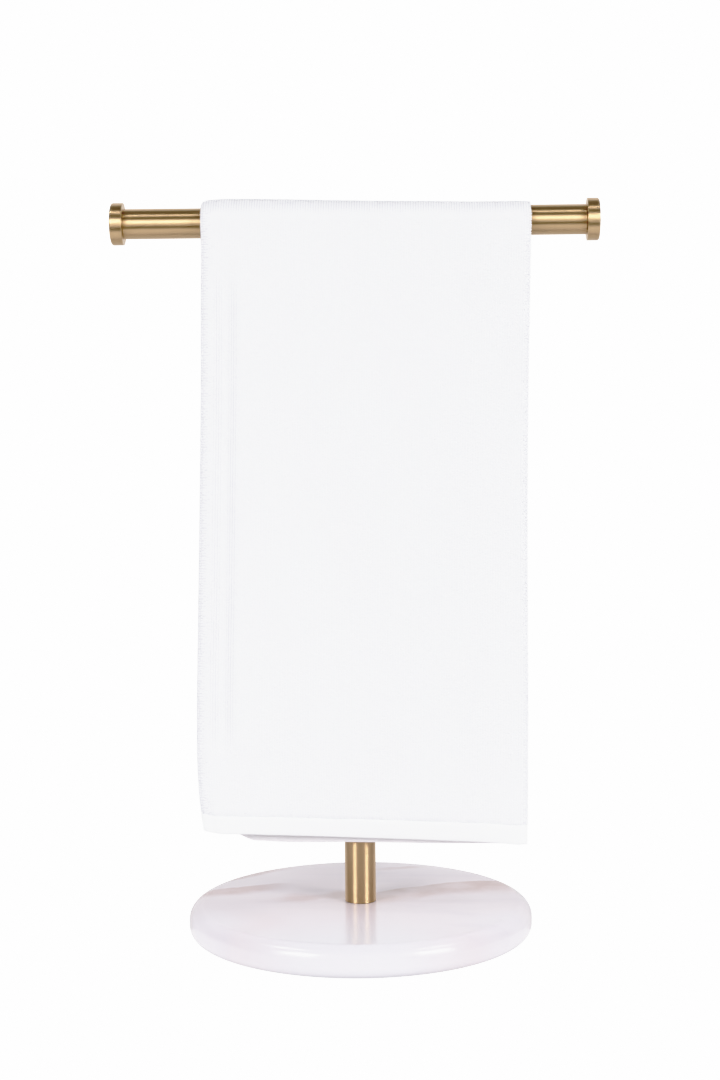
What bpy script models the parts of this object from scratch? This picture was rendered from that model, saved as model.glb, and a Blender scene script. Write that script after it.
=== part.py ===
"""Hand towel, folded once lengthwise and hung over the bar of a small T-shaped stand.

Metres, +Z up. +X runs along the bar to the right and -Y points at the viewer. The origin is the middle of the
underside of the stand's round base.
"""

import math

import bmesh
import bpy
import numpy as np

GAP = 0.0003

# The stand
BASE_RADIUS = 0.110
BASE_THICKNESS = 0.020
BASE_TOP_ROUNDING = 0.009
BASE_BOTTOM_ROUNDING = 0.007
POST_RADIUS = 0.010
POST_TOP_BELOW_BAR_AXIS = 0.006
BAR_RADIUS = 0.0095
BAR_HALF_LENGTH = 0.1457
BAR_HEIGHT = 0.4555
CAP_RADIUS = 0.01335
CAP_THICKNESS = 0.0077
CAP_OUTER_ROUNDING = 0.0016
CAP_INNER_ROUNDING = 0.0004

# The towel's cloth and the way its two layers lie on the bar
CLOTH = 0.0012
LEAST_PARTING = 0.0004
SLACK = 0.0028
SLACK_REACH = 0.150
FOLD_REACH = 0.0042
FLARE = 0.0016
OUTER_EDGE_DIP = 0.0013
INNER_EDGE_INSET = 0.0075
HEM_CORNER_REACH = 0.040
BACK_LIFT = 0.003

# The seam of each hem, and the shallow trough that runs down beside the fold
HEM_DEPTH_AT_FOLD = 0.0106
HEM_DEPTH_AT_OPEN_EDGE = 0.0126
SEAM_HALF_WIDTH = 0.0008
SEAM_FULLNESS = 0.55
SEAM_ROWS = (-4, -1, 0, 1, 4)
TROUGH_PLACE = 0.0140
TROUGH_HALF_WIDTH = 0.0085
TROUGH_DEPTH = 0.0017
TROUGH_TOP = 0.445
TROUGH_BOTTOM = 0.140
TROUGH_FADE = 0.045

# Where the towel's two side edges hang: height, the folded edge's X, the open edge's X
OUTLINE = np.array((
    (0.058, -0.0972, 0.1070),
    (0.070, -0.0988, 0.1072),
    (0.089, -0.1018, 0.1075),
    (0.112, -0.1030, 0.1076),
    (0.138, -0.1031, 0.1078),
    (0.200, -0.1016, 0.1077),
    (0.280, -0.0993, 0.1077),
    (0.350, -0.0975, 0.1084),
    (0.410, -0.0961, 0.1094),
    (BAR_HEIGHT, -0.0956, 0.1101),
))
FULL_WIDTH = OUTLINE[-1, 2] - OUTLINE[-1, 1]

# The lower edges in front: X, the outer layer's height, the inner layer's height
FRONT_HEM = np.array((
    (-0.1000, 0.0697, 0.0697),
    (-0.0900, 0.0681, 0.0681),
    (-0.0765, 0.0676, 0.0664),
    (-0.0690, 0.0674, 0.0628),
    (-0.0600, 0.0671, 0.0620),
    (0.0000, 0.0648, 0.0611),
    (0.0500, 0.0627, 0.0602),
    (0.0900, 0.0610, 0.0600),
    (0.1015, 0.0604, 0.0600),
    (0.1080, 0.0612, 0.0602),
))

# Numbers of steps in the towel's mesh
NEAR_STEPS = 8
FAR_STEPS = 9
FOLD_STEPS = 6
EDGE_STEPS = 3
PANEL_STEPS = 9
ARCH_STEPS = 14


def clear_scene():
    for thing in list(bpy.data.objects):
        bpy.data.objects.remove(thing, do_unlink=True)


def make_collection(name):
    collection = bpy.data.collections.new(name)
    bpy.context.scene.collection.children.link(collection)
    return collection


def make_material(name, colour, roughness, metallic):
    material = bpy.data.materials.new(name)
    material.use_nodes = True
    shader = material.node_tree.nodes["Principled BSDF"]
    shader.inputs["Base Color"].default_value = (*colour, 1.0)
    shader.inputs["Roughness"].default_value = roughness
    shader.inputs["Metallic"].default_value = metallic
    return material


def add_object(name, mesh, material, collection):
    thing = bpy.data.objects.new(name, mesh)
    mesh.materials.append(material)
    collection.objects.link(thing)
    return thing


def round_rim(shape, height, rounding, segments):
    """Rounds the ring of edges that lies at one height."""
    rim = [edge for edge in shape.edges if all(abs(vert.co.z - height) < 1e-6 for vert in edge.verts)]
    bmesh.ops.bevel(
        shape,
        geom=rim,
        offset=rounding,
        segments=segments,
        profile=0.5,
        affect="EDGES",
    )


def disc_mesh(name, radius, thickness, top_rounding, bottom_rounding, sides, segments):
    """A disc that stands on Z = 0, with its two rims rounded."""
    shape = bmesh.new()
    bmesh.ops.create_cone(
        shape,
        cap_ends=True,
        segments=sides,
        radius1=radius,
        radius2=radius,
        depth=thickness,
    )
    bmesh.ops.translate(shape, verts=shape.verts, vec=(0.0, 0.0, thickness / 2))
    round_rim(shape, thickness, top_rounding, segments)
    round_rim(shape, 0.0, bottom_rounding, segments)
    mesh = bpy.data.meshes.new(name)
    shape.to_mesh(mesh)
    shape.free()
    mesh.shade_smooth()
    mesh.set_sharp_from_angle(angle=math.radians(40))
    return mesh


def cylinder_mesh(name, radius, length, sides):
    """A cylinder along Z, centred on the origin."""
    shape = bmesh.new()
    bmesh.ops.create_cone(
        shape,
        cap_ends=True,
        segments=sides,
        radius1=radius,
        radius2=radius,
        depth=length,
    )
    mesh = bpy.data.meshes.new(name)
    shape.to_mesh(mesh)
    shape.free()
    mesh.shade_smooth()
    mesh.set_sharp_from_angle(angle=math.radians(40))
    return mesh


def make_base(parts, marble):
    mesh = disc_mesh(
        "base",
        BASE_RADIUS,
        BASE_THICKNESS,
        BASE_TOP_ROUNDING,
        BASE_BOTTOM_ROUNDING,
        sides=96,
        segments=4,
    )
    return add_object("base", mesh, marble, parts)


def make_crossbar(parts, brass):
    mesh = cylinder_mesh("crossbar", BAR_RADIUS, 2 * BAR_HALF_LENGTH, sides=64)
    bar = add_object("crossbar", mesh, brass, parts)
    bar.location = (0.0, 0.0, BAR_HEIGHT)
    bar.rotation_euler = (0.0, math.radians(90), 0.0)
    return bar


def make_cap(name, side, parts, brass):
    """A disc on the bar's end, its rounded rim facing out. The side is -1 on the left, 1 on the right."""
    mesh = disc_mesh(
        name,
        CAP_RADIUS,
        CAP_THICKNESS,
        CAP_OUTER_ROUNDING,
        CAP_INNER_ROUNDING,
        sides=48,
        segments=2,
    )
    cap = add_object(name, mesh, brass, parts)
    cap.location = (side * (BAR_HALF_LENGTH + GAP), 0.0, BAR_HEIGHT)
    cap.rotation_euler = (0.0, side * math.radians(90), 0.0)
    return cap


def make_post(parts, cutters, brass):
    """The post stands on the base, and its top is coped to the round of the bar."""
    low = BASE_THICKNESS + GAP
    length = BAR_HEIGHT - POST_TOP_BELOW_BAR_AXIS - low
    post = add_object("post", cylinder_mesh("post", POST_RADIUS, length, sides=64), brass, parts)
    post.location = (0.0, 0.0, low + length / 2)

    cutter_mesh = cylinder_mesh("bar_clearance", BAR_RADIUS + GAP, 6 * POST_RADIUS, sides=64)
    cutter = bpy.data.objects.new("bar_clearance", cutter_mesh)
    cutters.objects.link(cutter)
    cutter.location = (0.0, 0.0, BAR_HEIGHT)
    cutter.rotation_euler = (0.0, math.radians(90), 0.0)
    cutter.hide_render = True
    cutter.display_type = "WIRE"

    cope = post.modifiers.new("cope", "BOOLEAN")
    cope.operation = "DIFFERENCE"
    cope.solver = "EXACT"
    cope.object = cutter
    return post


def smooth_step(value):
    value = np.clip(value, 0.0, 1.0)
    return value * value * (3 - 2 * value)


def bump(distance, half_width):
    """A soft hump: 1 in its middle, 0 from half_width outwards."""
    return 1.0 - smooth_step(abs(distance) / half_width)


def across_table(table, column, place):
    """A column of a table at a place between its rows, on a smooth curve through them."""
    keys = table[:, 0]
    values = table[:, column]
    slopes = np.gradient(values, keys)
    place = min(max(place, keys[0]), keys[-1])
    row = min(int(np.searchsorted(keys, place, side="right")) - 1, len(keys) - 2)
    step = keys[row + 1] - keys[row]
    part = (place - keys[row]) / step
    return (
        values[row] * (1 + 2 * part) * (1 - part) ** 2
        + slopes[row] * step * part * (1 - part) ** 2
        + values[row + 1] * part**2 * (3 - 2 * part)
        + slopes[row + 1] * step * part**2 * (part - 1)
    )


def parting(along):
    """How far apart the two layers lie, at a distance from the folded edge."""
    return LEAST_PARTING + SLACK * (1.0 - smooth_step(along / SLACK_REACH))


def section_points():
    """The folded towel's section, from the inner layer's free edge round the fold to the outer layer's.

    Each point is its distance from the folded edge, its distance out from the bar, and whether it is outer.
    """
    inner_out = GAP + CLOTH / 2
    half_height = (CLOTH + parting(0.0)) / 2
    turn = CLOTH / 2 + FOLD_REACH
    inner_edge = FULL_WIDTH - INNER_EDGE_INSET
    trough_end = TROUGH_PLACE + TROUGH_HALF_WIDTH
    dip_start = inner_edge + CLOTH

    points = []
    far = np.linspace(inner_edge, HEM_CORNER_REACH, FAR_STEPS, endpoint=False)
    near = np.linspace(HEM_CORNER_REACH, turn, NEAR_STEPS, endpoint=False)
    for along in np.concatenate((far, near)):
        points.append((along, inner_out, False))
    for angle in np.linspace(-math.pi / 2, math.pi / 2, FOLD_STEPS + 1):
        along = turn - FOLD_REACH * math.cos(angle)
        out = inner_out + half_height * (1 + math.sin(angle))
        points.append((along, out, angle > 0))
    near = np.linspace(turn, trough_end, NEAR_STEPS + 1)[1:]
    far = np.linspace(trough_end, dip_start, FAR_STEPS + 1)[1:]
    edge = np.linspace(dip_start, FULL_WIDTH, EDGE_STEPS + 1)[1:]
    for along in np.concatenate((near, far, edge)):
        past_inner_edge = smooth_step((along - dip_start) / (FULL_WIDTH - dip_start))
        out = inner_out + CLOTH + parting(along) - OUTER_EDGE_DIP * past_inner_edge
        points.append((along, out, True))
    return points


def hang(along, out, outer, height, side):
    """A point of a hanging panel. The side is -1 in front and 1 behind."""
    fold_x = across_table(OUTLINE, 1, height)
    open_x = across_table(OUTLINE, 2, height)
    x = fold_x + along * (open_x - fold_x) / FULL_WIDTH
    if outer and side < 0:
        fade_in = smooth_step((TROUGH_TOP - height) / TROUGH_FADE)
        fade_out = smooth_step((height - TROUGH_BOTTOM) / TROUGH_FADE)
        out = out - TROUGH_DEPTH * fade_in * fade_out * bump(along - TROUGH_PLACE, TROUGH_HALF_WIDTH)
    return (x, side * (BAR_RADIUS + FLARE + out), height)


def hem_height(along, outer, side):
    """The height of a panel's lower edge, and of its hem's seam."""
    x = OUTLINE[0, 1] + along
    low = across_table(FRONT_HEM, 1 if outer else 2, x)
    if side > 0:
        low = low + BACK_LIFT
    depth = HEM_DEPTH_AT_FOLD + (HEM_DEPTH_AT_OPEN_EDGE - HEM_DEPTH_AT_FOLD) * along / FULL_WIDTH
    return low, low + depth


def panel_row(points, step, side):
    """One row of a panel, counted from the lower edge up: some rows round the hem's seam, then even steps."""
    row = []
    for along, out, outer in points:
        low, seam = hem_height(along, outer, side)
        heights = [low]
        heights.extend(seam + place * SEAM_HALF_WIDTH for place in SEAM_ROWS)
        heights.extend(np.linspace(seam, BAR_HEIGHT, PANEL_STEPS + 1)[1:-1])
        row.append(hang(along, out, outer, heights[step], side))
    return row


def arch_row(points, angle):
    """One row over the bar. The angle is -90 degrees in front, 0 on top and 90 degrees behind."""
    row = []
    for along, out, _ in points:
        reach = BAR_RADIUS + out + FLARE * math.sin(angle) ** 2
        x = OUTLINE[-1, 1] + along
        row.append((x, reach * math.sin(angle), BAR_HEIGHT + reach * math.cos(angle)))
    return row


def make_towel(parts, terry):
    """The cloth's middle surface, row by row from the front hem over the bar to the back hem, made thick."""
    points = section_points()
    panel_rows = len(SEAM_ROWS) + PANEL_STEPS
    seam_row = 1 + SEAM_ROWS.index(0)
    rows = [panel_row(points, step, -1) for step in range(panel_rows)]
    rows += [arch_row(points, angle) for angle in np.linspace(-math.pi / 2, math.pi / 2, ARCH_STEPS + 1)]
    rows += [panel_row(points, step, 1) for step in reversed(range(panel_rows))]

    shape = bmesh.new()
    grid = [[shape.verts.new(point) for point in row] for row in rows]
    for lower, upper in zip(grid[:-1], grid[1:]):
        for place in range(len(points) - 1):
            shape.faces.new((lower[place], lower[place + 1], upper[place + 1], upper[place]))
    bmesh.ops.recalc_face_normals(shape, faces=shape.faces)
    mesh = bpy.data.meshes.new("towel")
    shape.to_mesh(mesh)
    shape.free()
    mesh.shade_smooth()
    towel = add_object("towel", mesh, terry, parts)

    fullness = towel.vertex_groups.new(name="fullness")
    for number, row in enumerate(rows):
        from_end = min(number, len(rows) - 1 - number)
        weight = SEAM_FULLNESS if from_end == seam_row else 1.0
        first = number * len(points)
        fullness.add(list(range(first, first + len(points))), weight, "REPLACE")

    thickness = towel.modifiers.new("thickness", "SOLIDIFY")
    thickness.thickness = CLOTH
    thickness.offset = 0.0
    thickness.use_even_offset = True
    thickness.vertex_group = "fullness"
    return towel


def main():
    clear_scene()
    parts = make_collection("hand_towel_on_stand")
    cutters = make_collection("cutters")
    brass = make_material("brushed_brass", (0.68, 0.50, 0.25), 0.32, 1.0)
    marble = make_material("polished_marble", (0.83, 0.80, 0.82), 0.12, 0.0)
    terry = make_material("white_terry", (0.90, 0.90, 0.91), 0.95, 0.0)
    make_base(parts, marble)
    make_post(parts, cutters, brass)
    make_crossbar(parts, brass)
    make_cap("cap_left", -1, parts, brass)
    make_cap("cap_right", 1, parts, brass)
    make_towel(parts, terry)


main()
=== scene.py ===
"""Looks of a hand towel that hangs over the bar of a small T-shaped stand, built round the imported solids.

Metres, +Z up. +X runs along the bar to the right and -Y points at the viewer. The origin is the middle of the
underside of the stand's round base.
"""

import math

import bpy
import numpy as np
from mathutils import Matrix, Vector


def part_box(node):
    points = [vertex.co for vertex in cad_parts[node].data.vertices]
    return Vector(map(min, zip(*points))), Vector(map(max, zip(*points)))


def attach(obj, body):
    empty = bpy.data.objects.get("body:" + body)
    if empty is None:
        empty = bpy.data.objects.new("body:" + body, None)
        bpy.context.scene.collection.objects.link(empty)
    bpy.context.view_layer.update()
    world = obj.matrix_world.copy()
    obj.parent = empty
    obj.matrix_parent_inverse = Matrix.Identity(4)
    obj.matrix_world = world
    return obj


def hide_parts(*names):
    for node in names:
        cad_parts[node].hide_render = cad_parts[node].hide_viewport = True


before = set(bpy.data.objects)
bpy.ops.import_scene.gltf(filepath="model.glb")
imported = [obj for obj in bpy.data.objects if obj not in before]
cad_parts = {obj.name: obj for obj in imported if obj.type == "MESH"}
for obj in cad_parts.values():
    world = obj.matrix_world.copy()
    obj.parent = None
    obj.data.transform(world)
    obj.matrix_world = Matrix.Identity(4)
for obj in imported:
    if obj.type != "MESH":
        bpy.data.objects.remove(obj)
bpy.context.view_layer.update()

# The photograph's camera
CAMERA_PLACE = (0.0377, -1.2867, 0.3617)
CAMERA_YAW = 1.604
CAMERA_DOWN = 4.773
CAMERA_ROLL = 0.5157
CAMERA_LENS = 67.44

# The studio: the white that the camera sees, and the brightness of what lights the object
WHITE = 1.7
ROOM = 0.19
FLOOR_FRONT = 0.50
FLOOR_BACK = 2.4
FLOOR_HALF_WIDTH = 2.4
FLOOR_LIGHT_IN_FRONT = 1.08
FLOOR_LIGHT_BEHIND = 0.72
CONTACT_SHADE = 0.80
CONTACT_SHADE_RADIUS = 0.1105
CARD_BEHIND = 0.9
CARD_HEIGHT = 2.0
CARD_HALF_WIDTH = 1.8
CARD_LIGHT = 0.95
FRONT_CARD_DISTANCE = 2.0
FRONT_CARD_HALF_WIDTH = 1.1
FRONT_CARD_HEIGHT = 0.9
FRONT_CARD_LIGHT = 0.5

# The photograph's response to light: the light that falls in, and how bright it is shown
RESPONSE_RANGE = 2.0
RESPONSE = (
    (0.022, 0.008),
    (0.050, 0.020),
    (0.096, 0.076),
    (0.140, 0.134),
    (0.300, 0.300),
    (0.530, 0.530),
    (0.800, 0.790),
    (0.920, 0.870),
    (1.020, 0.913),
    (1.200, 0.950),
    (1.600, 0.985),
)

# The stand
GAP = 0.0003
BASE_SPREAD = 0.0006
BASE_TOP_ROUNDING = 0.009
BASE_BOTTOM_ROUNDING = 0.007
POST_TOP_BELOW_BAR_AXIS = 0.006
CAP_OUTER_ROUNDING = 0.0016
CAP_INNER_ROUNDING = 0.0002

BAR_LOW, BAR_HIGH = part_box("crossbar")
BAR_RADIUS = (BAR_HIGH.z - BAR_LOW.z) / 2
BAR_HALF_LENGTH = (BAR_HIGH.x - BAR_LOW.x) / 2
BAR_HEIGHT = (BAR_HIGH.z + BAR_LOW.z) / 2

# The towel's cloth and the way its two layers lie on the bar
CLOTH = 0.0012
LEAST_PARTING = 0.0004
SLACK = 0.0028
SLACK_REACH = 0.150
FOLD_REACH = 0.0056
FLARE = 0.0016
OUTER_EDGE_DIP = 0.0013
INNER_EDGE_INSET = 0.0075
HEM_CORNER_REACH = 0.040
BACK_LIFT = 0.003

# The seam of each hem, and the shallow trough that runs down beside the fold
HEM_DEPTH_AT_FOLD = 0.0117
HEM_DEPTH_AT_OPEN_EDGE = 0.0126
TROUGH_PLACE = 0.0160
TROUGH_HALF_WIDTH = 0.0105
TROUGH_DEPTH = 0.0028
TROUGH_TOP = 0.445
TROUGH_BOTTOM = 0.100
TROUGH_FADE = 0.045

# Half the cloth's thickness: its ground between the loops, its turned hems, and the pinch at the seam
GROUND_HALF = 0.00042
INNER_HEM_HALF = 0.00055
OUTER_HEM_HALF = 0.00080
SEAM_HALF = 0.00024
SEAM_REACH = 0.0011
SEAM_DENT = 0.0004
RIM_REACH = 0.0013

# How the layers part at the hems: the outer one stands out a little, the inner one leans in
HEM_SWING = 0.0013
HEM_LEAN = -0.0001
HEM_SWING_REACH = 0.045

# The fold thins where it rounds off over the bar
CORNER_DROP = 0.0009
CORNER_REACH = 0.016

# The outer layer lies closer to the inner one over the bar's open side, from this X and over this reach
OPEN_SIDE_DROP = 0.00065
OPEN_SIDE_START = 0.038
OPEN_SIDE_REACH = 0.045

# Where the towel's two side edges hang: height, the folded edge's X, the open edge's X
OUTLINE = np.array((
    (0.058, -0.0986, 0.1072),
    (0.070, -0.0998, 0.1073),
    (0.089, -0.1022, 0.1075),
    (0.112, -0.1033, 0.1076),
    (0.138, -0.1032, 0.1078),
    (0.200, -0.1016, 0.1077),
    (0.280, -0.0993, 0.1077),
    (0.350, -0.0975, 0.1084),
    (0.410, -0.0965, 0.1095),
    (0.434, -0.0960, 0.1100),
    (BAR_HEIGHT, -0.0962, 0.1104),
))
FULL_WIDTH = OUTLINE[-1, 2] - OUTLINE[-1, 1]

# The lower edges in front: X, the outer layer's height, the inner layer's height
FRONT_HEM = np.array((
    (-0.1000, 0.0697, 0.0697),
    (-0.0900, 0.0681, 0.0681),
    (-0.0765, 0.0676, 0.0664),
    (-0.0690, 0.0674, 0.0628),
    (-0.0600, 0.0671, 0.0620),
    (0.0000, 0.0648, 0.0611),
    (0.0500, 0.0627, 0.0602),
    (0.0900, 0.0608, 0.0600),
    (0.1015, 0.0598, 0.0597),
    (0.1080, 0.0597, 0.0598),
))

# Broad soft ridges of the two outer panels: side, X, half width, middle height, half height, depth
RIDGES = (
    (-1, -0.050, 0.042, 0.270, 0.190, 0.0009),
    (-1, 0.066, 0.040, 0.230, 0.180, 0.0010),
    (-1, 0.020, 0.030, 0.120, 0.070, 0.0005),
    (1, -0.036, 0.045, 0.250, 0.180, 0.0013),
    (1, 0.052, 0.050, 0.210, 0.150, 0.0011),
)

# Terry loops stand in ribs that run the length of the towel
RIB_PITCH = 0.0016
LOOP_PITCH = 0.0016
LOOP_HALF_WIDTH = 0.00098
LOOP_HALF_LENGTH = 0.00120
LOOP_RISE = 0.00030
LOOP_ROOT = 0.00006
LOOP_SAG = 0.00012
LOOP_SEED = 11
FOLD_SHADE_REACH = 0.0110
EDGE_SHADE_REACH = 0.0060
LOOP_FEET = ((-1.0, -1.0), (1.0, -1.0), (1.0, 1.0), (-1.0, 1.0))
LOOP_RIDGE = ((0.0, -0.55), (0.0, 0.55))

# The stitches of the hem's seam
STITCH_PITCH = 0.0026
STITCH_HALF_LENGTH = 0.00085
STITCH_RADIUS = 0.00028

# The marble: its ground colours, and its veins as courses of (X, Y) from left to right, with the
# reach of their soft front edge and of their sharp back edge
MARBLE_WHITE = (0.810, 0.748, 0.800)
MARBLE_PINK = (0.788, 0.710, 0.762)
MARBLE_VIOLET = (0.700, 0.645, 0.720)
VEIN_BROWN = (0.520, 0.370, 0.345)
VEIN_RED = (0.560, 0.405, 0.400)
VEIN_GREY = (0.520, 0.480, 0.560)
VEIN_RANGE = 0.22
VEINS = (
    {
        "course": ((0.008, 0.017), (0.030, 0.030), (0.048, 0.039), (0.062, 0.0445), (0.110, 0.0470)),
        "front": 0.036,
        "back": 0.0030,
        "fade": 0.022,
        "strength": 0.74,
        "colour": VEIN_BROWN,
    },
    {
        "course": ((-0.110, 0.019), (-0.087, 0.0302), (-0.0566, 0.0422)),
        "front": 0.022,
        "back": 0.0025,
        "fade": 0.012,
        "strength": 0.70,
        "colour": VEIN_RED,
    },
    {
        "course": ((-0.095, 0.052), (-0.0770, 0.0705), (-0.055, 0.0905)),
        "front": 0.014,
        "back": 0.0040,
        "fade": 0.010,
        "strength": 0.70,
        "colour": VEIN_BROWN,
    },
    {
        "course": ((-0.066, 0.0400), (-0.042, 0.0310), (-0.008, 0.0170)),
        "front": 0.022,
        "back": 0.012,
        "fade": 0.014,
        "strength": 0.24,
        "colour": VEIN_GREY,
    },
    {
        "course": ((-0.052, 0.003), (-0.035, 0.0095), (-0.008, 0.0175)),
        "front": 0.012,
        "back": 0.006,
        "fade": 0.012,
        "strength": 0.40,
        "colour": VEIN_RED,
    },
    {
        "course": ((0.010, 0.0830), (0.022, 0.0865), (0.040, 0.0905)),
        "front": 0.008,
        "back": 0.0020,
        "fade": 0.009,
        "strength": 0.35,
        "colour": VEIN_BROWN,
    },
    {
        "course": ((-0.098, -0.012), (-0.060, -0.006), (0.0, -0.012), (0.065, -0.020)),
        "front": 0.020,
        "back": 0.012,
        "fade": 0.020,
        "strength": 0.12,
        "colour": VEIN_GREY,
    },
)

# Soft patches in the marble: middle, reach, strength and colour. The first four are tints of the stone; the last three
# are painted light, a lighter, cooler tone on the base's front edge and sides.
MARBLE_PATCHES_AND_PAINTED_LIGHT = (
    ((-0.040, 0.007, 0.020), 0.016, 0.30, VEIN_RED),
    ((-0.014, 0.014, 0.020), 0.014, 0.40, VEIN_BROWN),
    ((-0.084, -0.022, 0.020), 0.036, 0.16, VEIN_GREY),
    ((-0.070, -0.055, 0.020), 0.034, 0.30, (0.780, 0.660, 0.700)),
    # Painted light: a lighter, cooler tone on the base's front edge and sides.
    ((-0.004, -0.122, 0.012), 0.090, 0.80, (0.800, 0.790, 0.852)),
    ((-0.100, -0.058, 0.010), 0.045, 0.60, (0.800, 0.780, 0.852)),
    ((0.100, -0.058, 0.010), 0.045, 0.50, (0.800, 0.780, 0.852)),
)


# Shapes

def add_object(name, mesh, material):
    thing = bpy.data.objects.new(name, mesh)
    bpy.context.scene.collection.objects.link(thing)
    mesh.materials.append(material)
    return thing


def mesh_from(name, points, faces):
    mesh = bpy.data.meshes.new(name)
    mesh.from_pydata([tuple(point) for point in points], [], faces)
    mesh.update()
    mesh.shade_smooth()
    return mesh


def arc(centre_radius, centre_height, rounding, start, end, steps):
    """Points of a turned profile on a round corner, its angles in degrees up from outwards."""
    points = []
    for angle in np.radians(np.linspace(start, end, steps + 1)):
        points.append((centre_radius + rounding * math.cos(angle), centre_height + rounding * math.sin(angle)))
    return points


def turned_mesh(name, profile, sides):
    """A solid turned about Z from a profile of (radius, height), which runs from the foot's middle to the top's."""
    rings = profile[1:-1]
    points = [(0.0, 0.0, profile[0][1])]
    for radius, height in rings:
        for side in range(sides):
            angle = 2 * math.pi * side / sides
            points.append((radius * math.cos(angle), radius * math.sin(angle), height))
    points.append((0.0, 0.0, profile[-1][1]))
    faces = []
    for side in range(sides):
        following = (side + 1) % sides
        faces.append((0, 1 + following, 1 + side))
        for ring in range(len(rings) - 1):
            low = 1 + ring * sides
            high = low + sides
            faces.append((low + side, low + following, high + following, high + side))
        last = 1 + (len(rings) - 1) * sides
        faces.append((last + side, last + following, len(points) - 1))
    return mesh_from(name, points, faces)


def disc_profile(radius, thickness, top_rounding, bottom_rounding, steps):
    profile = [(0.0, 0.0), ((radius - bottom_rounding) * 0.985, 0.0)]
    profile += arc(radius - bottom_rounding, bottom_rounding, bottom_rounding, -90, 0, steps)
    profile += arc(radius - top_rounding, thickness - top_rounding, top_rounding, 0, 90, steps)
    profile += [((radius - top_rounding) * 0.985, thickness), (0.0, thickness)]
    return profile


def make_base(marble):
    low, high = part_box("base")
    radius = (high.x - low.x) / 2 + BASE_SPREAD
    profile = disc_profile(radius, high.z - low.z, BASE_TOP_ROUNDING, BASE_BOTTOM_ROUNDING, 14)
    base = add_object("base_disc", turned_mesh("base_disc", profile, 256), marble)
    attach(base, "root")
    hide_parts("base")
    return base


def make_bar(brass):
    edge = 0.0002
    profile = [(0.0, 0.0), (BAR_RADIUS - edge, 0.0), (BAR_RADIUS, edge)]
    profile += [(BAR_RADIUS, 2 * BAR_HALF_LENGTH - edge), (BAR_RADIUS - edge, 2 * BAR_HALF_LENGTH)]
    profile += [(0.0, 2 * BAR_HALF_LENGTH)]
    mesh = turned_mesh("bar_tube", profile, 192)
    mesh.set_sharp_from_angle(angle=math.radians(30))
    bar = add_object("bar_tube", mesh, brass)
    bar.location = (-BAR_HALF_LENGTH, 0.0, BAR_HEIGHT)
    bar.rotation_euler = (0.0, math.radians(90), 0.0)
    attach(bar, "root")
    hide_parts("crossbar")
    return bar


def make_cap(name, node, side, brass):
    """A disc on the bar's end, its rounded rim facing out. The side is -1 on the left, 1 on the right."""
    low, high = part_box(node)
    profile = disc_profile(
        (high.z - low.z) / 2,
        high.x - low.x,
        CAP_OUTER_ROUNDING,
        CAP_INNER_ROUNDING,
        8,
    )
    mesh = turned_mesh(name, profile, 160)
    mesh.set_sharp_from_angle(angle=math.radians(30))
    cap = add_object(name, mesh, brass)
    cap.location = (low.x if side > 0 else high.x, 0.0, BAR_HEIGHT)
    cap.rotation_euler = (0.0, side * math.radians(90), 0.0)
    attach(cap, "root")
    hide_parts(node)
    return cap


def make_post(brass):
    """The post's tube. Its top is coped to the round of the bar."""
    low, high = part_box("post")
    radius = (high.x - low.x) / 2
    cope = BAR_RADIUS + GAP
    sides = 192
    rings = [(radius, 0.0), (radius, high.z - low.z)]
    rings += [(radius * part, high.z - low.z) for part in (0.9, 0.75, 0.6, 0.45, 0.3, 0.15)]
    mesh = turned_mesh("post_tube", [(0.0, 0.0), *rings, (0.0, high.z - low.z)], sides)
    for vert in mesh.vertices:
        if vert.co.z > (high.z - low.z) / 2:
            under_bar = BAR_HEIGHT - math.sqrt(max(cope**2 - vert.co.y**2, 0.0)) - low.z
            vert.co.z = min(high.z - low.z, under_bar)
    mesh.update()
    mesh.set_sharp_from_angle(angle=math.radians(30))
    post = add_object("post_tube", mesh, brass)
    post.location = (0.0, 0.0, low.z)
    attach(post, "root")
    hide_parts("post")
    return post


# The towel's middle surface

def smooth_step(value):
    value = np.clip(value, 0.0, 1.0)
    return value * value * (3 - 2 * value)


def bump(distance, half_width):
    """A soft hump: 1 in its middle, 0 from half_width outwards."""
    return 1.0 - smooth_step(np.abs(distance) / half_width)


def across_table(table, column, place):
    """A column of a table at places between its rows, on a smooth curve through them."""
    keys = table[:, 0]
    values = table[:, column]
    slopes = np.gradient(values, keys)
    place = np.clip(place, keys[0], keys[-1])
    row = np.clip(np.searchsorted(keys, place, side="right") - 1, 0, len(keys) - 2)
    step = keys[row + 1] - keys[row]
    part = (place - keys[row]) / step
    return (
        values[row] * (1 + 2 * part) * (1 - part) ** 2
        + slopes[row] * step * part * (1 - part) ** 2
        + values[row + 1] * part**2 * (3 - 2 * part)
        + slopes[row + 1] * step * part**2 * (part - 1)
    )


def parting(along):
    """How far apart the two layers lie, at a distance from the folded edge."""
    return LEAST_PARTING + SLACK * (1.0 - smooth_step(along / SLACK_REACH))


def rim_steps(start, end, steps):
    """Places from one edge to the other, with close ones at the start, where the cloth's edge is rounded."""
    direction = math.copysign(1.0, end - start)
    close = start + direction * RIM_REACH * np.array((0.0, 0.12, 0.4, 1.0))
    return np.concatenate((close, np.linspace(close[-1], end, steps + 1)[1:]))


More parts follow.
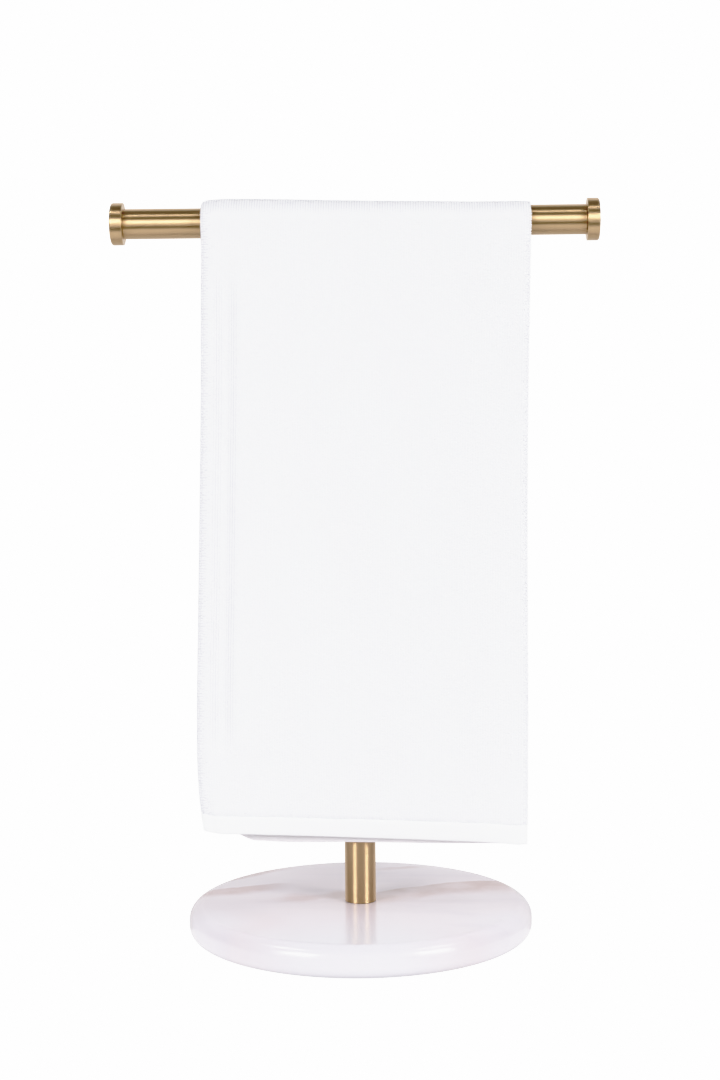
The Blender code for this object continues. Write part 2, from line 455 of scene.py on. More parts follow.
def section_points():
    """The folded towel's section, from the inner layer's free edge round the fold to the outer layer's.

    Returns each point's distance from the folded edge, its distance out from the bar, and whether it is outer.
    """
    inner_out = GAP + CLOTH / 2
    half_height = (CLOTH + parting(0.0)) / 2
    turn = CLOTH / 2 + FOLD_REACH
    inner_edge = FULL_WIDTH - INNER_EDGE_INSET
    trough_end = TROUGH_PLACE + TROUGH_HALF_WIDTH
    dip_start = inner_edge + CLOTH

    inner = rim_steps(inner_edge, HEM_CORNER_REACH, 28)
    inner = np.concatenate((inner, np.linspace(HEM_CORNER_REACH, turn, 15)[1:-1]))
    angles = np.linspace(-math.pi / 2, math.pi / 2, 17)
    outer = np.linspace(turn, trough_end, 15)[1:]
    outer = np.concatenate((outer, np.linspace(trough_end, dip_start, 70)[1:]))
    outer = np.concatenate((outer, rim_steps(FULL_WIDTH, dip_start, 3)[-2::-1]))

    past_inner_edge = smooth_step((outer - dip_start) / (FULL_WIDTH - dip_start))
    outer_out = inner_out + CLOTH + parting(outer) - OUTER_EDGE_DIP * past_inner_edge
    along = np.concatenate((inner, turn - FOLD_REACH * np.cos(angles), outer))
    out = np.concatenate((
        np.full(len(inner), inner_out),
        inner_out + half_height * (1 + np.sin(angles)),
        outer_out,
    ))
    is_outer = np.concatenate((np.zeros(len(inner)), angles > 0, np.ones(len(outer)))).astype(bool)
    return along, out, is_outer


def ridges(x, height, side):
    """How far the outer panel of one side swells out in its broad soft ridges."""
    swell = np.zeros_like(x)
    for on_side, place, half_width, middle, half_height, depth in RIDGES:
        if on_side == side:
            swell += depth * bump(x - place, half_width) * bump(height - middle, half_height)
    return swell


def hang(along, out, is_outer, height, side):
    """Points of a hanging panel. The side is -1 in front and 1 behind."""
    fold_x = across_table(OUTLINE, 1, height)
    open_x = across_table(OUTLINE, 2, height)
    x = fold_x + along * (open_x - fold_x) / FULL_WIDTH
    swell = ridges(x, height, side)
    if side < 0:
        fade_in = smooth_step((TROUGH_TOP - height) / TROUGH_FADE)
        fade_out = smooth_step((height - TROUGH_BOTTOM) / TROUGH_FADE)
        swell = swell - TROUGH_DEPTH * fade_in * fade_out * bump(along - TROUGH_PLACE, TROUGH_HALF_WIDTH)
    low, seam = hem_heights(along, is_outer, side)
    out = out - np.where(is_outer, SEAM_DENT * bump(height - seam, SEAM_REACH), 0.0)
    near_hem = 1.0 - smooth_step((height - low) / HEM_SWING_REACH)
    past_fold = smooth_step((along - FOLD_REACH) / FOLD_REACH)
    out = out + np.where(is_outer, swell + HEM_SWING * near_hem * past_fold, -HEM_LEAN * near_hem * past_fold)
    return np.stack((x, side * (BAR_RADIUS + FLARE + out), height), axis=-1)


def hem_heights(along, is_outer, side):
    """The height of a panel's lower edge, and of its hem's seam."""
    x = OUTLINE[0, 1] + along
    low = np.where(is_outer, across_table(FRONT_HEM, 1, x), across_table(FRONT_HEM, 2, x))
    if side > 0:
        low = low + BACK_LIFT
    depth = HEM_DEPTH_AT_FOLD + (HEM_DEPTH_AT_OPEN_EDGE - HEM_DEPTH_AT_FOLD) * along / FULL_WIDTH
    return low, low + depth


def panel_rows(section, side):
    """A panel's rows from its lower edge up to the bar, and each point's distance above the lower edge."""
    along, out, is_outer = section
    low, seam = hem_heights(along, is_outer, side)
    heights = [low + distance for distance in RIM_REACH * np.array((0.0, 0.12, 0.4, 1.0))]
    heights += [heights[-1] + (seam - SEAM_REACH - heights[-1]) * part for part in (0.25, 0.5, 0.75, 1.0)]
    heights += [seam + SEAM_REACH * part for part in (-0.7, -0.45, -0.2, 0.0, 0.2, 0.45, 0.7, 1.0)]
    heights += [heights[-1] + (BAR_HEIGHT - heights[-1]) * part for part in np.linspace(0, 1, 97)[1:-1]]
    rows = [hang(along, out, is_outer, height, side) for height in heights]
    return rows, [height - low for height in heights], [height - seam for height in heights]


def arch_rows(section):
    """The rows over the bar, from its front to its back."""
    along, out, is_outer = section
    inner_out = GAP + CLOTH / 2
    drop = CORNER_DROP * (1.0 - smooth_step(along / CORNER_REACH)) * (out - inner_out) / (CLOTH + parting(0.0))
    dip_start = FULL_WIDTH - INNER_EDGE_INSET + CLOTH
    drop = drop - 0.8 * OUTER_EDGE_DIP * smooth_step((along - dip_start) / (FULL_WIDTH - dip_start))
    from_start = OUTLINE[-1, 1] + along - OPEN_SIDE_START
    drop = drop + OPEN_SIDE_DROP * smooth_step(from_start / OPEN_SIDE_REACH)
    rows = []
    for angle in np.linspace(-math.pi / 2, math.pi / 2, 29):
        thinned = np.where(is_outer, out - drop * math.cos(angle), out)
        reach = BAR_RADIUS + thinned + FLARE * math.sin(angle) ** 2
        x = OUTLINE[-1, 1] + along
        rows.append(np.stack((x, reach * math.sin(angle), BAR_HEIGHT + reach * math.cos(angle)), axis=-1))
    return rows


def towel_grid():
    """The cloth's middle surface as a grid of rows across and columns along it, and what is known of each point.

    Rows run from the front hem over the bar to the back hem. Columns run from the inner layer's free edge round
    the fold to the outer layer's free edge. The grid gives places, normals, half the cloth's thickness, each
    point's distance from the folded edge and from its nearer seam, and its distance along the row and the column.
    """
    section = section_points()
    front, front_low, front_seam = panel_rows(section, -1)
    back, back_low, back_seam = panel_rows(section, 1)
    over = arch_rows(section)
    far = np.full_like(section[0], 1.0)
    places = np.array(front + over + back[::-1])
    from_low = np.array(front_low + [far] * len(over) + back_low[::-1])
    from_seam = np.array(front_seam + [far] * len(over) + back_seam[::-1])

    along_row = np.gradient(places, axis=1)
    along_column = np.gradient(places, axis=0)
    normals = np.cross(along_row, along_column)
    normals /= np.linalg.norm(normals, axis=-1, keepdims=True)

    steps_across = np.linalg.norm(np.diff(places, axis=1), axis=-1)
    across = np.concatenate((np.zeros((len(places), 1)), np.cumsum(steps_across, axis=1)), axis=1)
    steps_down = np.linalg.norm(np.diff(places, axis=0), axis=-1)
    down = np.concatenate((np.zeros((1, places.shape[1])), np.cumsum(steps_down, axis=0)), axis=0)

    in_hem = smooth_step(-from_seam / SEAM_REACH)
    hem_half = np.where(section[2], OUTER_HEM_HALF, INNER_HEM_HALF)
    half = GROUND_HALF + (hem_half - GROUND_HALF) * in_hem
    half = half + (SEAM_HALF - half) * bump(from_seam, SEAM_REACH)
    edge = np.minimum.reduce((from_low, across, across[:, -1:] - across))
    rounded = np.clip(edge / RIM_REACH, 0.0, 1.0)
    half = half * np.sqrt(1.0 - (1.0 - rounded) ** 2)
    return {
        "places": places,
        "normals": normals,
        "half": half,
        "along": np.broadcast_to(section[0], across.shape),
        "is_outer": np.broadcast_to(section[2], across.shape),
        "from_seam": from_seam,
        "from_open_edge": across[:, -1:] - across,
        "across": across,
        "down": down,
    }


def set_uv(mesh, places):
    """Writes a UV map from a place for each vertex."""
    layer = mesh.uv_layers.new(name="OFBake")
    corners = np.zeros(len(mesh.loops), dtype=np.int32)
    mesh.loops.foreach_get("vertex_index", corners)
    layer.uv.foreach_set("vector", np.asarray(places, dtype=np.float32)[corners].ravel())


def make_towel(grid, terry, hem_weave, inner_hem_painted_shade):
    """The sheet itself: the middle surface made thick, its two faces meeting in rounded rims."""
    rows, columns = grid["half"].shape
    offset = grid["normals"] * grid["half"][..., None]
    outside = (grid["places"] + offset).reshape(-1, 3)
    inside = (grid["places"] - offset).reshape(-1, 3)

    index = np.arange(rows * columns).reshape(rows, columns)
    is_rim = np.ones((rows, columns), dtype=bool)
    is_rim[1:-1, 1:-1] = False
    inner_index = index.copy()
    inner_index[~is_rim] = rows * columns + np.arange((~is_rim).sum())
    points = np.concatenate((outside, inside[~is_rim.ravel()]))

    def quads(numbers, flipped):
        corners = (numbers[:-1, :-1], numbers[:-1, 1:], numbers[1:, 1:], numbers[1:, :-1])
        if flipped:
            corners = corners[::-1]
        return np.stack(corners, axis=-1).reshape(-1, 4)

    faces = np.concatenate((quads(index, False), quads(inner_index, True)))
    mesh = mesh_from("towel_cloth", points, faces.tolist())
    # The sheet's own material is the terry ground, whose darker colour is painted shade.
    towel = add_object("towel_cloth", mesh, terry)
    mesh.materials.append(hem_weave)
    # The inner layer's hem gets a darker cloth, whose colour is painted shade under the outer hem.
    mesh.materials.append(inner_hem_painted_shade)
    in_hem = grid["from_seam"][:-1, :-1] < -0.2 * SEAM_REACH
    hem_slot = np.where(grid["is_outer"][:-1, :-1], 1, 2)
    slots = np.where(in_hem, hem_slot, 0).ravel()
    mesh.polygons.foreach_set("material_index", np.tile(slots, 2).astype(np.int32))

    width = grid["across"].max()
    length = grid["down"].max()
    flat = np.stack((grid["across"] / width, grid["down"] / length), axis=-1).reshape(-1, 2)
    left_half = flat * (0.48, 0.98) + (0.01, 0.01)
    right_half = left_half + (0.5, 0.0)
    set_uv(mesh, np.concatenate((left_half, right_half[~is_rim.ravel()])))
    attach(towel, "root")
    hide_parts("towel")
    return towel


def read_grid(grid, name, row, column):
    """A value of the grid at places between its points."""
    values = grid[name]
    rows, columns = grid["half"].shape
    low_row = np.clip(np.floor(row).astype(int), 0, rows - 2)
    low_column = np.clip(np.floor(column).astype(int), 0, columns - 2)
    down = row - low_row
    right = column - low_column
    if values.ndim == 3:
        down = down[:, None]
        right = right[:, None]
    return (
        values[low_row, low_column] * (1 - down) * (1 - right)
        + values[low_row, low_column + 1] * (1 - down) * right
        + values[low_row + 1, low_column] * down * (1 - right)
        + values[low_row + 1, low_column + 1] * down * right
    )


def loop_places(grid, random):
    """Grid places of the terry loops: even ribs across the outer layer and the fold, even loops along each rib."""
    middle = grid["half"].shape[0] // 2
    columns = np.arange(grid["half"].shape[1])
    across = grid["across"][middle]
    along = grid["along"][middle]
    start = across[np.argmin(along)] - 0.010
    ribs = np.arange(across[-1] - 0.0006, start, -RIB_PITCH)
    found = []
    for rib in ribs:
        column = np.interp(rib, across, columns)
        nearest = int(round(column))
        down = grid["down"][:, nearest]
        above = np.where(grid["from_seam"][:, nearest] > 0)[0]
        rows = np.arange(len(down))
        first = down[above[0]] + 0.0003 + 0.0004 * random.random()
        last = down[above[-1]] - 0.0003 - 0.0004 * random.random()
        loops = np.arange(first + LOOP_PITCH * random.uniform(0.3, 1.3), last - 0.3 * LOOP_PITCH, LOOP_PITCH)
        loops = loops + random.uniform(-0.2, 0.2, len(loops)) * LOOP_PITCH
        loops = np.concatenate(([first], loops, [last]))
        found.append(np.stack((np.interp(loops, down, rows), np.full(len(loops), column)), axis=-1))
    return np.concatenate(found)


def make_loops(name, grid, places, terry, random):
    """Terry loops as small soft wedges, each with a long low ridge, in one joined mesh."""
    row, column = places[:, 0], places[:, 1]
    centre = read_grid(grid, "places", row, column)
    normal = read_grid(grid, "normals", row, column)
    half = read_grid(grid, "half", row, column)
    ahead = read_grid(grid, "places", row + 0.25, column) - read_grid(grid, "places", row - 0.25, column)
    lengthwise = ahead / np.linalg.norm(ahead, axis=-1, keepdims=True)
    crosswise = np.cross(normal, lengthwise)
    crosswise /= np.linalg.norm(crosswise, axis=-1, keepdims=True)

    count = len(places)
    turn = random.uniform(-0.12, 0.12, count)[:, None]
    size = random.uniform(0.92, 1.08, count)[:, None]
    up = smooth_step((np.abs(normal[:, 2:]) - 0.20) / 0.55)
    bent = smooth_step((np.abs(normal[:, :1]) - 0.05) / 0.40)
    # Near the fold and the open edge the loops are shorter, so that more of the ground, with its painted shade, shows
    # between them.
    from_fold = read_grid(grid, "along", row, column)[:, None]
    from_edge = read_grid(grid, "from_open_edge", row, column)[:, None]
    near_edge = 1.0 - smooth_step(from_edge / EDGE_SHADE_REACH)
    aside = np.maximum(1.0 - smooth_step(from_fold / FOLD_SHADE_REACH), 0.9 * near_edge)
    half_width = LOOP_HALF_WIDTH * (1.0 - 0.38 * up - 0.28 * bent * (1.0 - up))
    half_length = LOOP_HALF_LENGTH * (1.0 - 0.60 * aside * (1.0 - 0.5 * up))
    rise = random.uniform(0.75, 1.25, count)[:, None] * LOOP_RISE * (1.0 + 0.2 * aside)
    sag = LOOP_SAG * random.uniform(0.4, 1.6, count)[:, None] * -np.array((0.0, 0.0, 1.0))
    long_way = lengthwise * np.cos(turn) + crosswise * np.sin(turn)
    wide_way = crosswise * np.cos(turn) - lengthwise * np.sin(turn)
    foot = centre + normal * (half[:, None] - LOOP_ROOT)

    corners = []
    for wide, far in LOOP_FEET:
        corners.append(foot + size * (wide_way * wide * half_width + long_way * far * half_length))
    for wide, far in LOOP_RIDGE:
        corners.append(foot + long_way * far * half_length + normal * (LOOP_ROOT + rise) + sag)
    points = np.stack(corners, axis=1).reshape(-1, 3)
    one = ((0, 1, 4), (1, 2, 5, 4), (2, 3, 5), (3, 0, 4, 5))
    faces = [tuple(6 * loop + corner for corner in face) for loop in range(count) for face in one]
    mesh = mesh_from(name, points, faces)
    loops = add_object(name, mesh, terry)

    width = grid["across"].max()
    length = grid["down"].max()
    across = read_grid(grid, "across", row, column) / width
    down = read_grid(grid, "down", row, column) / length
    spot = np.stack((across, down), axis=-1)
    step = np.array((LOOP_HALF_WIDTH / width, LOOP_HALF_LENGTH / length))
    around = np.array(LOOP_FEET + LOOP_RIDGE)
    set_uv(mesh, np.clip(spot[:, None, :] + around * step, 0.0, 1.0).reshape(-1, 2))
    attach(loops, "root")
    return loops


def make_stitches(grid, thread, random):
    """Short stitches in the seams of the two outer layers, in one joined mesh."""
    rows, columns = grid["half"].shape
    points = []
    places = []
    faces = []
    sides = 6
    for half in (range(rows // 2), range(rows // 2, rows)):
        nearest = half[0] + np.argmin(np.abs(grid["from_seam"][half[0]:half[-1] + 1]), axis=0)
        outer = np.where(grid["is_outer"][0] & (grid["along"][0] > FOLD_REACH))[0]
        across = np.array([grid["across"][nearest[column], column] for column in outer])
        for spot in np.arange(across[0] + 0.001, across[-1] - 0.001, STITCH_PITCH):
            column = np.interp(spot, across, outer)
            row = np.interp(column, np.arange(columns), nearest)
            at = np.array([row]), np.array([column])
            centre = read_grid(grid, "places", *at)[0]
            normal = read_grid(grid, "normals", *at)[0]
            ahead = read_grid(grid, "places", at[0], at[1] + 0.3)[0] - centre
            ahead /= np.linalg.norm(ahead)
            aside = np.cross(normal, ahead)
            centre = centre + normal * (SEAM_HALF + 0.3 * STITCH_RADIUS) + aside * random.uniform(-0.0001, 0.0001)
            length = STITCH_HALF_LENGTH * random.uniform(0.85, 1.1)
            first = len(points)
            for part, thick in ((-1.0, 0.35), (-0.55, 0.95), (0.55, 0.95), (1.0, 0.35)):
                for side in range(sides):
                    turn = 2 * math.pi * side / sides
                    round_way = normal * math.cos(turn) + aside * math.sin(turn)
                    points.append(centre + ahead * part * length + round_way * STITCH_RADIUS * thick)
                    places.append((0.02 + spot * 4 + part * 0.002, 0.5 + 0.005 * math.sin(turn)))
            for ring in range(3):
                for side in range(sides):
                    low = first + ring * sides
                    following = (side + 1) % sides
                    faces.append((low + side, low + following, low + sides + following, low + sides + side))
            faces.append(tuple(first + side for side in reversed(range(sides))))
            faces.append(tuple(first + 3 * sides + side for side in range(sides)))
    mesh = mesh_from("seam_stitches", points, faces)
    stitches = add_object("seam_stitches", mesh, thread)
    set_uv(mesh, places)
    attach(stitches, "root")
    return stitches


# Materials

def new_material(name):
    material = bpy.data.materials.new(name)
    material.use_nodes = True
    tree = material.node_tree
    return material, tree, tree.nodes["Principled BSDF"]


def texture_place(tree, scale):
    """Object coordinates times a scale."""
    coordinates = tree.nodes.new("ShaderNodeTexCoord")
    mapping = tree.nodes.new("ShaderNodeMapping")
    mapping.inputs["Scale"].default_value = scale
    tree.links.new(coordinates.outputs["Object"], mapping.inputs["Vector"])
    return mapping.outputs["Vector"]


def noise(tree, place, scale, detail, roughness=0.5):
    texture = tree.nodes.new("ShaderNodeTexNoise")
    texture.inputs["Scale"].default_value = scale
    texture.inputs["Detail"].default_value = detail
    texture.inputs["Roughness"].default_value = roughness
    tree.links.new(place, texture.inputs["Vector"])
    return texture.outputs["Fac"]


def remap(tree, value, low, high, to_low, to_high):
    node = tree.nodes.new("ShaderNodeMapRange")
    node.inputs["From Min"].default_value = low
    node.inputs["From Max"].default_value = high
    node.inputs["To Min"].default_value = to_low
    node.inputs["To Max"].default_value = to_high
    tree.links.new(value, node.inputs["Value"])
    return node.outputs["Result"]


def math_node(tree, operation, first, second):
    node = tree.nodes.new("ShaderNodeMath")
    node.operation = operation
    for socket, value in zip(node.inputs, (first, second)):
        if isinstance(value, (int, float)):
            socket.default_value = value
        else:
            tree.links.new(value, socket)
    return node.outputs["Value"]


def mix_colour(tree, factor, first, second):
    node = tree.nodes.new("ShaderNodeMix")
    node.data_type = "RGBA"
    tree.links.new(factor, node.inputs["Factor"])
    for socket, value in ((node.inputs["A"], first), (node.inputs["B"], second)):
        if isinstance(value, tuple):
            socket.default_value = (*value, 1.0)
        else:
            tree.links.new(value, socket)
    return node.outputs["Result"]


def add_bump(tree, shader, height, strength, distance):
    node = tree.nodes.new("ShaderNodeBump")
    node.inputs["Strength"].default_value = strength
    node.inputs["Distance"].default_value = distance
    tree.links.new(height, node.inputs["Height"])
    tree.links.new(node.outputs["Normal"], shader.inputs["Normal"])


def terry_material(name, dark, light):
    """White cotton: fibrous, with a soft sheen, its colour between two."""
    material, tree, shader = new_material(name)
    shader.inputs["Roughness"].default_value = 0.9
    shader.inputs["Specular IOR Level"].default_value = 0.25
    shader.inputs["Sheen Weight"].default_value = 0.15
    shader.inputs["Sheen Roughness"].default_value = 0.5
    broad = noise(tree, texture_place(tree, (1.0, 1.0, 1.0)), 35.0, 2.0)
    fibres = noise(tree, texture_place(tree, (1.0, 1.0, 0.6)), 2200.0, 3.0, 0.6)
    tree.links.new(mix_colour(tree, broad, dark, light), shader.inputs["Base Color"])
    add_bump(tree, shader, fibres, 0.35, 0.00015)
    return material


def hem_material(name, dark, light):
    """Flat woven cotton: fine threads along and across the hem, its colour between two."""
    material, tree, shader = new_material(name)
    shader.inputs["Roughness"].default_value = 0.85
    shader.inputs["Specular IOR Level"].default_value = 0.25
    shader.inputs["Sheen Weight"].default_value = 0.1
    place = texture_place(tree, (1.0, 1.0, 1.0))
    broad = noise(tree, place, 60.0, 2.0)
    colour = mix_colour(tree, broad, dark, light)
    tree.links.new(colour, shader.inputs["Base Color"])
    parts = tree.nodes.new("ShaderNodeSeparateXYZ")
    tree.links.new(place, parts.inputs["Vector"])
    threads = []
    for axis, pitch in (("X", 0.00055), ("Z", 0.00065)):
        turns = math_node(tree, "MULTIPLY", parts.outputs[axis], 2 * math.pi / pitch)
        threads.append(math_node(tree, "SINE", turns, 0.0))
    weave = math_node(tree, "MULTIPLY", threads[0], threads[1])
    add_bump(tree, shader, weave, 0.3, 0.00005)
    return material


def brass_material():
    """Satin brass, brushed round its own axis, so that highlights spread along the axis."""
    material, tree, shader = new_material("brushed_brass")
    shader.inputs["Metallic"].default_value = 1.0
    shader.inputs["Anisotropic"].default_value = 1.0
    shader.inputs["Anisotropic Rotation"].default_value = 0.25
    tangent = tree.nodes.new("ShaderNodeTangent")
    tangent.direction_type = "RADIAL"
    tangent.axis = "Z"
    tree.links.new(tangent.outputs["Tangent"], shader.inputs["Tangent"])
    grain = noise(tree, texture_place(tree, (0.02, 0.02, 1.0)), 3500.0, 2.0, 0.6)
    cloud = noise(tree, texture_place(tree, (1.0, 1.0, 0.4)), 55.0, 3.0)
    colour = mix_colour(tree, cloud, (0.680, 0.472, 0.262), (0.710, 0.498, 0.282))
    tree.links.new(colour, shader.inputs["Base Color"])
    tree.links.new(remap(tree, grain, 0.3, 0.7, 0.42, 0.48), shader.inputs["Roughness"])
    shader.inputs["Coat Weight"].default_value = 0.6
    shader.inputs["Coat Roughness"].default_value = 0.3
    return material


def vein_course(tree, place, course):
    """How far a point lies behind a vein's course, in metres. The course is a list of (X, Y) from left to right."""
    parts = tree.nodes.new("ShaderNodeSeparateXYZ")
    tree.links.new(place, parts.inputs["Vector"])
    first, last = course[0][0], course[-1][0]
    part = remap(tree, parts.outputs["X"], first, last, 0.0, 1.0)
    curve = tree.nodes.new("ShaderNodeFloatCurve")
    points = curve.mapping.curves[0].points
    points[0].location = (0.0, course[0][1] / VEIN_RANGE + 0.5)
    points[1].location = (1.0, course[-1][1] / VEIN_RANGE + 0.5)
    for x, y in course[1:-1]:
        points.new((x - first) / (last - first), y / VEIN_RANGE + 0.5)
    curve.mapping.update()
    tree.links.new(part, curve.inputs["Value"])
    course_y = remap(tree, curve.outputs["Value"], 0.0, 1.0, -VEIN_RANGE / 2, VEIN_RANGE / 2)
    return math_node(tree, "SUBTRACT", parts.outputs["Y"], course_y), parts.outputs["X"]


def soft_between(tree, value, start, full, fading, end):
    """1 between full and fading, and soft down to 0 at start and end."""
    rising = remap(tree, value, start, full, 0.0, 1.0)
    falling = remap(tree, value, fading, end, 1.0, 0.0)
    for result in (rising, falling):
        result.node.interpolation_type = "SMOOTHSTEP"
    return math_node(tree, "MULTIPLY", rising, falling)


def add_vein(tree, place, colour, vein):
    """Lays a vein over a colour: sharp on its back edge, soft on its front edge, and patchy along its length."""
    behind, x = vein_course(tree, place, vein["course"])
    across = soft_between(tree, behind, -vein["front"], -0.4 * vein["front"], 0.0, vein["back"])
    first, last = vein["course"][0][0], vein["course"][-1][0]
    fade = vein["fade"]
    along = soft_between(tree, x, first - fade, first + fade, last - fade, last + fade)
    patchy = remap(tree, noise(tree, place, 45.0, 3.0), 0.3, 0.6, 0.45, 1.0)
    factor = math_node(tree, "MULTIPLY", across, along)
    factor = math_node(tree, "MULTIPLY", factor, patchy)
    factor = math_node(tree, "MULTIPLY", factor, vein["strength"])
    return mix_colour(tree, factor, colour, vein["colour"])


def marble_material():
    """Polished white marble with a pink and violet tinge and a few brown veins. The base's front edge and sides get a
    lighter, cooler tone, which is painted light.
    """
    material, tree, shader = new_material("polished_marble")
    shader.inputs["Roughness"].default_value = 0.17
    shader.inputs["IOR"].default_value = 1.46
    place = texture_place(tree, (1.0, 1.0, 1.0))
    wobble = tree.nodes.new("ShaderNodeTexNoise")
    wobble.inputs["Scale"].default_value = 38.0
    wobble.inputs["Detail"].default_value = 4.0
    tree.links.new(place, wobble.inputs["Vector"])
    centred = tree.nodes.new("ShaderNodeVectorMath")
    centred.operation = "SUBTRACT"
    centred.inputs[1].default_value = (0.5, 0.5, 0.5)
    tree.links.new(wobble.outputs["Color"], centred.inputs[0])
    warped = tree.nodes.new("ShaderNodeVectorMath")
    warped.operation = "MULTIPLY_ADD"
    warped.inputs[1].default_value = (0.010, 0.010, 0.004)
    tree.links.new(centred.outputs["Vector"], warped.inputs[0])
    tree.links.new(place, warped.inputs[2])
    bent = warped.outputs["Vector"]

    slant = tree.nodes.new("ShaderNodeMapping")
    slant.inputs["Rotation"].default_value = (0.0, 0.0, math.radians(-20))
    slant.inputs["Scale"].default_value = (1.0, 4.0, 1.0)
    tree.links.new(bent, slant.inputs["Vector"])
    cloud = noise(tree, place, 11.0, 2.0)
    band = noise(tree, slant.outputs["Vector"], 13.0, 3.0, 0.55)
    colour = mix_colour(tree, remap(tree, cloud, 0.35, 0.65, 0.0, 1.0), MARBLE_PINK, MARBLE_WHITE)
    colour = mix_colour(tree, remap(tree, band, 0.52, 0.75, 0.0, 0.5), colour, MARBLE_VIOLET)
    for vein in VEINS:
        colour = add_vein(tree, bent, colour, vein)
    # Soft patches: tints of the stone, and painted light on the base's front edge and sides.
    for middle, reach, strength, patch_colour in MARBLE_PATCHES_AND_PAINTED_LIGHT:
        distance = tree.nodes.new("ShaderNodeVectorMath")
        distance.operation = "DISTANCE"
        distance.inputs[1].default_value = middle
        tree.links.new(bent, distance.inputs[0])
        near = remap(tree, distance.outputs["Value"], reach, 0.3 * reach, 0.0, strength)
        near.node.interpolation_type = "SMOOTHSTEP"
        colour = mix_colour(tree, near, colour, patch_colour)
    tree.links.new(colour, shader.inputs["Base Color"])
    return material


# The studio

def emission_material(name, strength):
    material = bpy.data.materials.new(name)
    material.use_nodes = True
    tree = material.node_tree
    tree.nodes.remove(tree.nodes["Principled BSDF"])
    light = tree.nodes.new("ShaderNodeEmission")
    light.inputs["Color"].default_value = (1.0, 1.0, 1.0, 1.0)
    light.inputs["Strength"].default_value = strength
    tree.links.new(light.outputs["Emission"], tree.nodes["Material Output"].inputs["Surface"])
    return material


def add_card(name, corners, strength, is_seen):
    """A flat card that shines. The camera sees it and nothing else does, or the other way round."""
    card = add_object(name, mesh_from(name, corners, [tuple(range(len(corners)))]), emission_material(name, strength))
    card.visible_camera = is_seen
    card.visible_diffuse = not is_seen
    card.visible_glossy = not is_seen
    card.visible_transmission = not is_seen


def level_corners(half_width, front, back):
    return [(-half_width, front, 0.0), (half_width, front, 0.0), (half_width, back, 0.0), (-half_width, back, 0.0)]


def upright_corners(half_width, y, height):
    return [(-half_width, y, 0.0), (half_width, y, 0.0), (half_width, y, height), (-half_width, y, height)]


def make_studio():
    """A white floor, floor and backdrop cards that only light the object, and a dim room."""
    whole = level_corners(FLOOR_HALF_WIDTH, -FLOOR_FRONT, FLOOR_BACK)
    front = level_corners(FLOOR_HALF_WIDTH, -FLOOR_FRONT, 0.0)
    back = level_corners(FLOOR_HALF_WIDTH, 0.0, FLOOR_BACK)
    turns = np.radians(np.arange(0, 360, 5))
    contact = [(CONTACT_SHADE_RADIUS * math.cos(turn), CONTACT_SHADE_RADIUS * math.sin(turn), 0.0001) for turn in turns]
    backdrop = upright_corners(CARD_HALF_WIDTH, CARD_BEHIND, CARD_HEIGHT)
    before = upright_corners(FRONT_CARD_HALF_WIDTH, -FRONT_CARD_DISTANCE, FRONT_CARD_HEIGHT)
    add_card("floor", whole, WHITE, True)
    add_card("floor_light_in_front", front, FLOOR_LIGHT_IN_FRONT, False)
    add_card("floor_light_behind", back, FLOOR_LIGHT_BEHIND, False)
    add_card("contact_shade", contact, CONTACT_SHADE, False)
    add_card("backdrop_light", backdrop, CARD_LIGHT, False)
    add_card("front_light", before, FRONT_CARD_LIGHT, False)

    world = bpy.data.worlds.new("studio")
    bpy.context.scene.world = world
    world.use_nodes = True
    tree = world.node_tree
    seen = tree.nodes["Background"]
    seen.inputs["Color"].default_value = (1.0, 1.0, 1.0, 1.0)
    seen.inputs["Strength"].default_value = WHITE
    room = tree.nodes.new("ShaderNodeBackground")
    room.inputs["Color"].default_value = (1.0, 1.0, 1.0, 1.0)
    room.inputs["Strength"].default_value = ROOM
    path = tree.nodes.new("ShaderNodeLightPath")
    mix = tree.nodes.new("ShaderNodeMixShader")
    tree.links.new(path.outputs["Is Camera Ray"], mix.inputs["Fac"])
    tree.links.new(room.outputs["Background"], mix.inputs[1])
    tree.links.new(seen.outputs["Background"], mix.inputs[2])
    tree.links.new(mix.outputs["Shader"], tree.nodes["World Output"].inputs["Surface"])


def add_softbox(name, place, target, size, radiance, roll=0.0):
    light = bpy.data.lights.new(name, "AREA")
    light.shape = "RECTANGLE"
    light.size, light.size_y = size
    light.energy = radiance * math.pi * size[0] * size[1]
    box = bpy.data.objects.new(name, light)
    bpy.context.scene.collection.objects.link(box)
    box.location = place
    aim = (Vector(target) - Vector(place)).to_track_quat("-Z", "Y").to_matrix()
    box.rotation_euler = (aim @ Matrix.Rotation(math.radians(roll), 3, "Z")).to_euler()
    box.visible_camera = False
    return box


def softbox_place(azimuth, distance, height):
    """A place round the stand, its azimuth in degrees to the right of straight in front."""
    turn = math.radians(azimuth)
    return (distance * math.sin(turn), -distance * math.cos(turn), height)


def add_lights():
    middle = (0.0, 0.0, 0.30)
    for side, azimuth in (("left", -41), ("right", 52)):
        add_softbox("key_" + side, softbox_place(azimuth, 1.15, 0.68), middle, (0.48, 0.42), 10.5)
        add_softbox("low_" + side, softbox_place(azimuth, 1.15, 0.30), middle, (0.48, 0.34), 2.5)
    for side, azimuth, roll in (("left", -72.7, 37.4), ("right", 72.7, -37.4)):
        add_softbox("top_" + side, softbox_place(azimuth, 1.147, 1.706), middle, (0.60, 0.08), 29.0, roll)


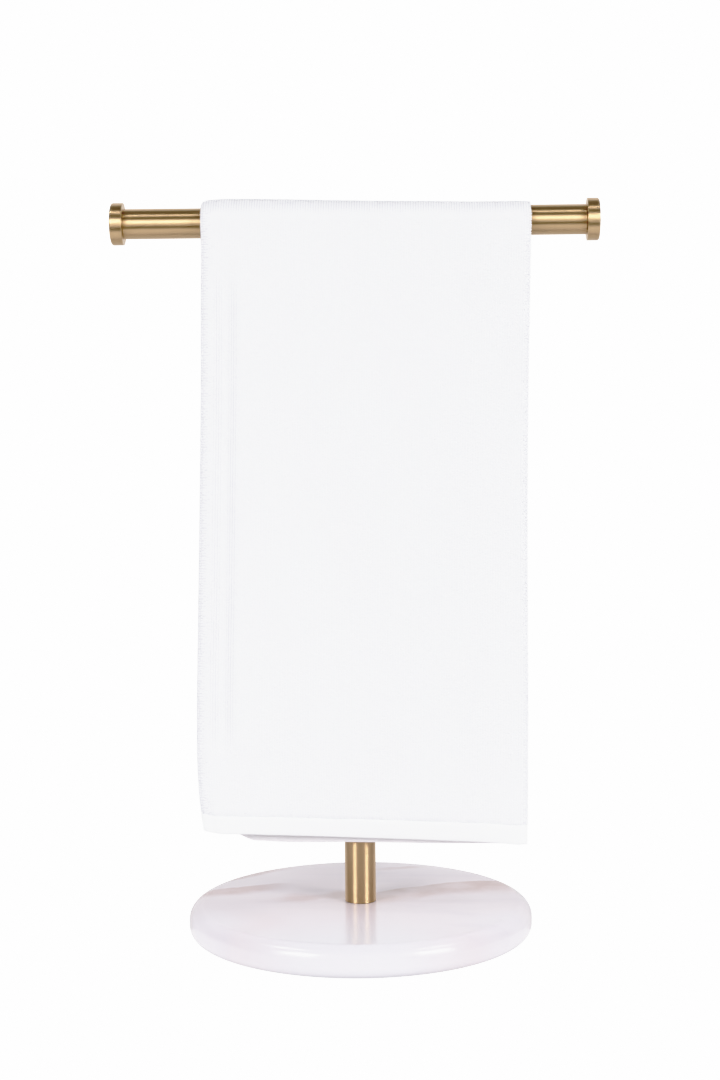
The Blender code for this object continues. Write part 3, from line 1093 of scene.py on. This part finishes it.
def set_response():
    """Shows light as the photograph does: darks a little deeper, and brights that level off softly."""
    view = bpy.context.scene.view_settings
    view.view_transform = "Standard"
    view.use_curve_mapping = True
    mapping = view.curve_mapping
    mapping.white_level = (RESPONSE_RANGE, RESPONSE_RANGE, RESPONSE_RANGE)
    for light, shown in RESPONSE:
        mapping.curves[3].points.new(light / RESPONSE_RANGE, shown)
    mapping.update()


def add_camera():
    camera = bpy.data.objects.new("camera", bpy.data.cameras.new("camera"))
    bpy.context.scene.collection.objects.link(camera)
    camera.data.lens = CAMERA_LENS
    camera.data.sensor_width = 36.0
    camera.matrix_world = (
        Matrix.Translation(CAMERA_PLACE)
        @ Matrix.Rotation(math.radians(CAMERA_YAW), 4, "Z")
        @ Matrix.Rotation(math.radians(90 - CAMERA_DOWN), 4, "X")
        @ Matrix.Rotation(math.radians(-CAMERA_ROLL), 4, "Z")
    )
    bpy.context.scene.camera = camera


def main():
    set_response()
    add_camera()
    make_studio()
    add_lights()
    marble = marble_material()
    brass = brass_material()
    terry = terry_material("terry_loops", (0.885, 0.889, 0.925), (0.898, 0.902, 0.937))
    # The ground's colour is darker than the loops' colour: painted shade between the loops, on the whole sheet under
    # them.
    ground_painted_shade = terry_material("terry_ground", (0.770, 0.762, 0.815), (0.785, 0.778, 0.830))
    hem_weave = hem_material("woven_hem", (0.928, 0.935, 0.950), (0.940, 0.947, 0.962))
    # The inner hem's darker colour is painted shade, where the outer hem overhangs it.
    inner_hem_painted_shade = hem_material("woven_hem_inside_painted_shade", (0.850, 0.832, 0.850), (0.862, 0.844, 0.862))
    make_base(marble)
    make_bar(brass)
    make_cap("cap_left_disc", "cap_left", -1, brass)
    make_cap("cap_right_disc", "cap_right", 1, brass)
    make_post(brass)

    grid = towel_grid()
    towel = make_towel(grid, ground_painted_shade, hem_weave, inner_hem_painted_shade)
    random = np.random.default_rng(LOOP_SEED)
    places = loop_places(grid, random)
    middle = read_grid(grid, "places", places[:, 0], places[:, 1])
    over_bar = middle[:, 2] > BAR_HEIGHT
    in_front = ~over_bar & (middle[:, 1] < 0)
    behind = ~over_bar & (middle[:, 1] > 0)
    for name, chosen in (("pile_front", in_front), ("pile_over_bar", over_bar), ("pile_back", behind)):
        make_loops(name, grid, places[chosen], terry, random)
    make_stitches(grid, hem_weave, random)


main()
